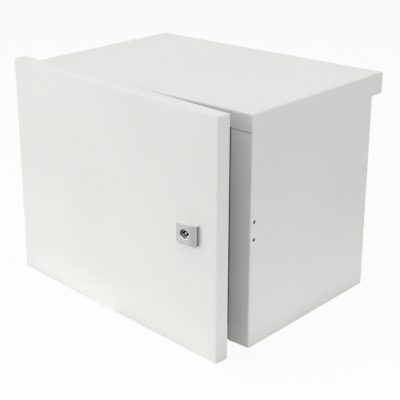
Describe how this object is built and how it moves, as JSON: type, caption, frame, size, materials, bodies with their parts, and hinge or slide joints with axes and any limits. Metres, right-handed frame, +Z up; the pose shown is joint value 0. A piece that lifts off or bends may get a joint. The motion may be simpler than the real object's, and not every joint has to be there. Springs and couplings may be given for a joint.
{
  "type": "roadside utility cabinet",
  "caption": "Light grey folded sheet-steel utility cabinet with a side-hinged pan door standing ajar, a cam lock, a rear hanging lip and an inner mounting plate.",
  "frame": {"origin": "centre of the underside of the base", "axes": "+Z up, +X to the right seen from the front, +Y towards the rear panel"},
  "size_m": [0.512, 0.4333, 0.393],
  "materials": {
    "coat": "light grey powder coat, satin",
    "zinc": "zinc plated",
    "silver": "satin chrome on a zinc casting",
    "dark_steel": "blackened steel",
    "rubber": "matt black",
    "foam": "matt dark grey foam"
  },
  "bodies": {
    "frame": {"body_wrap": "coat", "base_panel": "coat", "rear_panel": "coat", "mounting_plate": "zinc", "mounting_studs": "zinc", "mounting_spacers": "zinc", "mounting_washers": "zinc", "mounting_nuts": "zinc", "gland_plate": "zinc", "gland_gasket": "foam", "gland_studs": "zinc", "gland_nuts": "zinc", "cable_grommets": "rubber", "earth_stud": "zinc", "earth_nuts": "zinc", "hinge_frame_leaves": "coat", "hinge_pins": "zinc", "hinge_washers": "zinc"},
    "door": {"door_pan": "coat", "door_gasket": "foam", "door_stiffeners": "coat", "hinge_door_leaves": "coat", "door_earth_stud": "zinc", "door_earth_nut": "zinc", "lock_housing": "silver", "lock_washer": "zinc", "lock_nut": "zinc"},
    "lock": {"lock_plug": "silver", "lock_cam": "zinc", "lock_cam_screw": "dark_steel"}
  },
  "joints": [
    {"name": "door_hinge", "type": "hinge", "parent": "frame", "child": "door", "pos_m": [-0.257, -0.1615, 0.191], "axis": [0, 0, -1], "range_deg": [-5.4, 164.6]},
    {"name": "lock_turn", "type": "hinge", "parent": "door", "child": "lock", "pos_m": [0.18905, -0.22978, 0.2025], "axis": [0.0941, 0.9956, 0], "range_deg": [0, 90]}
  ]
}
